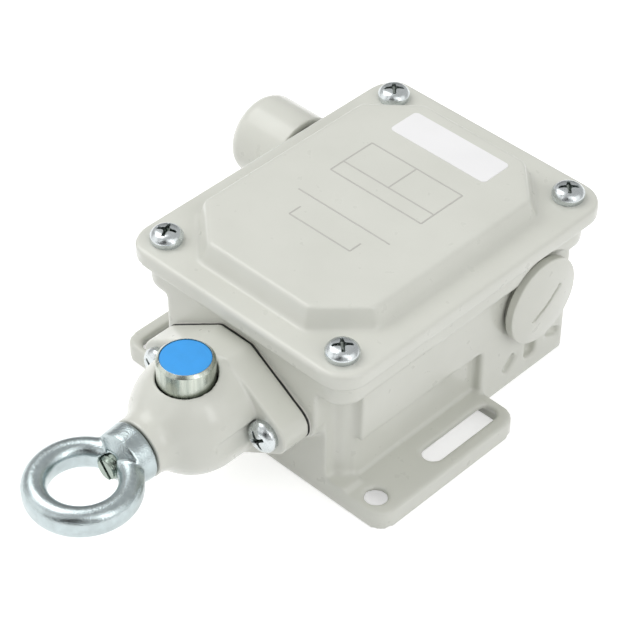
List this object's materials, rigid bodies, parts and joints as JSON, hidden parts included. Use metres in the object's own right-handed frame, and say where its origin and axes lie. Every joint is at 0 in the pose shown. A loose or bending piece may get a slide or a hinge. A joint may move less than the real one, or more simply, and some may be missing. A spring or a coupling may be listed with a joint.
{
  "type": "rope pull switch",
  "caption": "Rope pull switch: screwed die-cast box with side feet, bolted bell-shaped head, sliding rod with rope eye and a reset button on top",
  "frame": {"origin": "Centre of the mounting face at z=0, midway between the four cover screws", "axes": "+X is the side with the blanking plug, -Y is the way the rope pulls, +Z points away from the mounting face. The feet rest on z=0."},
  "size_m": [0.1062, 0.152, 0.052],
  "materials": {
    "painted_casting": "satin",
    "zinc_steel": "satin",
    "spring_steel": "satin",
    "blue_cap": "gloss",
    "seal_rubber": "matt",
    "bush_brass": "satin",
    "contact_metal": "satin",
    "block_plastic": "matt",
    "slide_plastic": "matt"
  },
  "bodies": {
    "housing": {"housing": "painted_casting", "cover": "painted_casting", "cover_gasket": "seal_rubber", "cover_screws": "zinc_steel", "head_casting": "painted_casting", "head_gasket": "seal_rubber", "head_screws": "zinc_steel", "rod_bush": "bush_brass", "rod_wiper": "seal_rubber", "reset_seal": "seal_rubber", "rod_spring": "spring_steel", "reset_spring": "spring_steel", "blanking_plug": "painted_casting", "plug_seal": "seal_rubber", "gland_body": "painted_casting", "gland_washer": "seal_rubber", "gland_seal": "seal_rubber", "gland_nut": "painted_casting", "block_base": "block_plastic", "block_screws": "zinc_steel", "fixed_contacts": "contact_metal", "terminal_screws": "zinc_steel", "terminal_clamps": "zinc_steel", "earth_terminal": "contact_metal"},
    "pull_train": {"pull_rod": "zinc_steel", "rod_retainer": "zinc_steel", "eye_nut": "zinc_steel", "contact_slide": "slide_plastic", "moving_contacts": "contact_metal", "contact_springs": "spring_steel"},
    "reset": {"reset_button": "zinc_steel", "reset_disc": "blue_cap", "reset_fork": "zinc_steel"}
  },
  "joints": [
    {"name": "pull", "type": "slide", "parent": "housing", "child": "pull_train", "axis": [0, -1, 0], "range_m": [0, 0.008], "stiffness_N_per_m": 2000, "deforming": ["rod_spring"]},
    {"name": "reset_push", "type": "slide", "parent": "housing", "child": "reset", "axis": [0, 0, -1], "range_m": [0, 0.004], "stiffness_N_per_m": 600, "deforming": ["reset_spring"]}
  ]
}
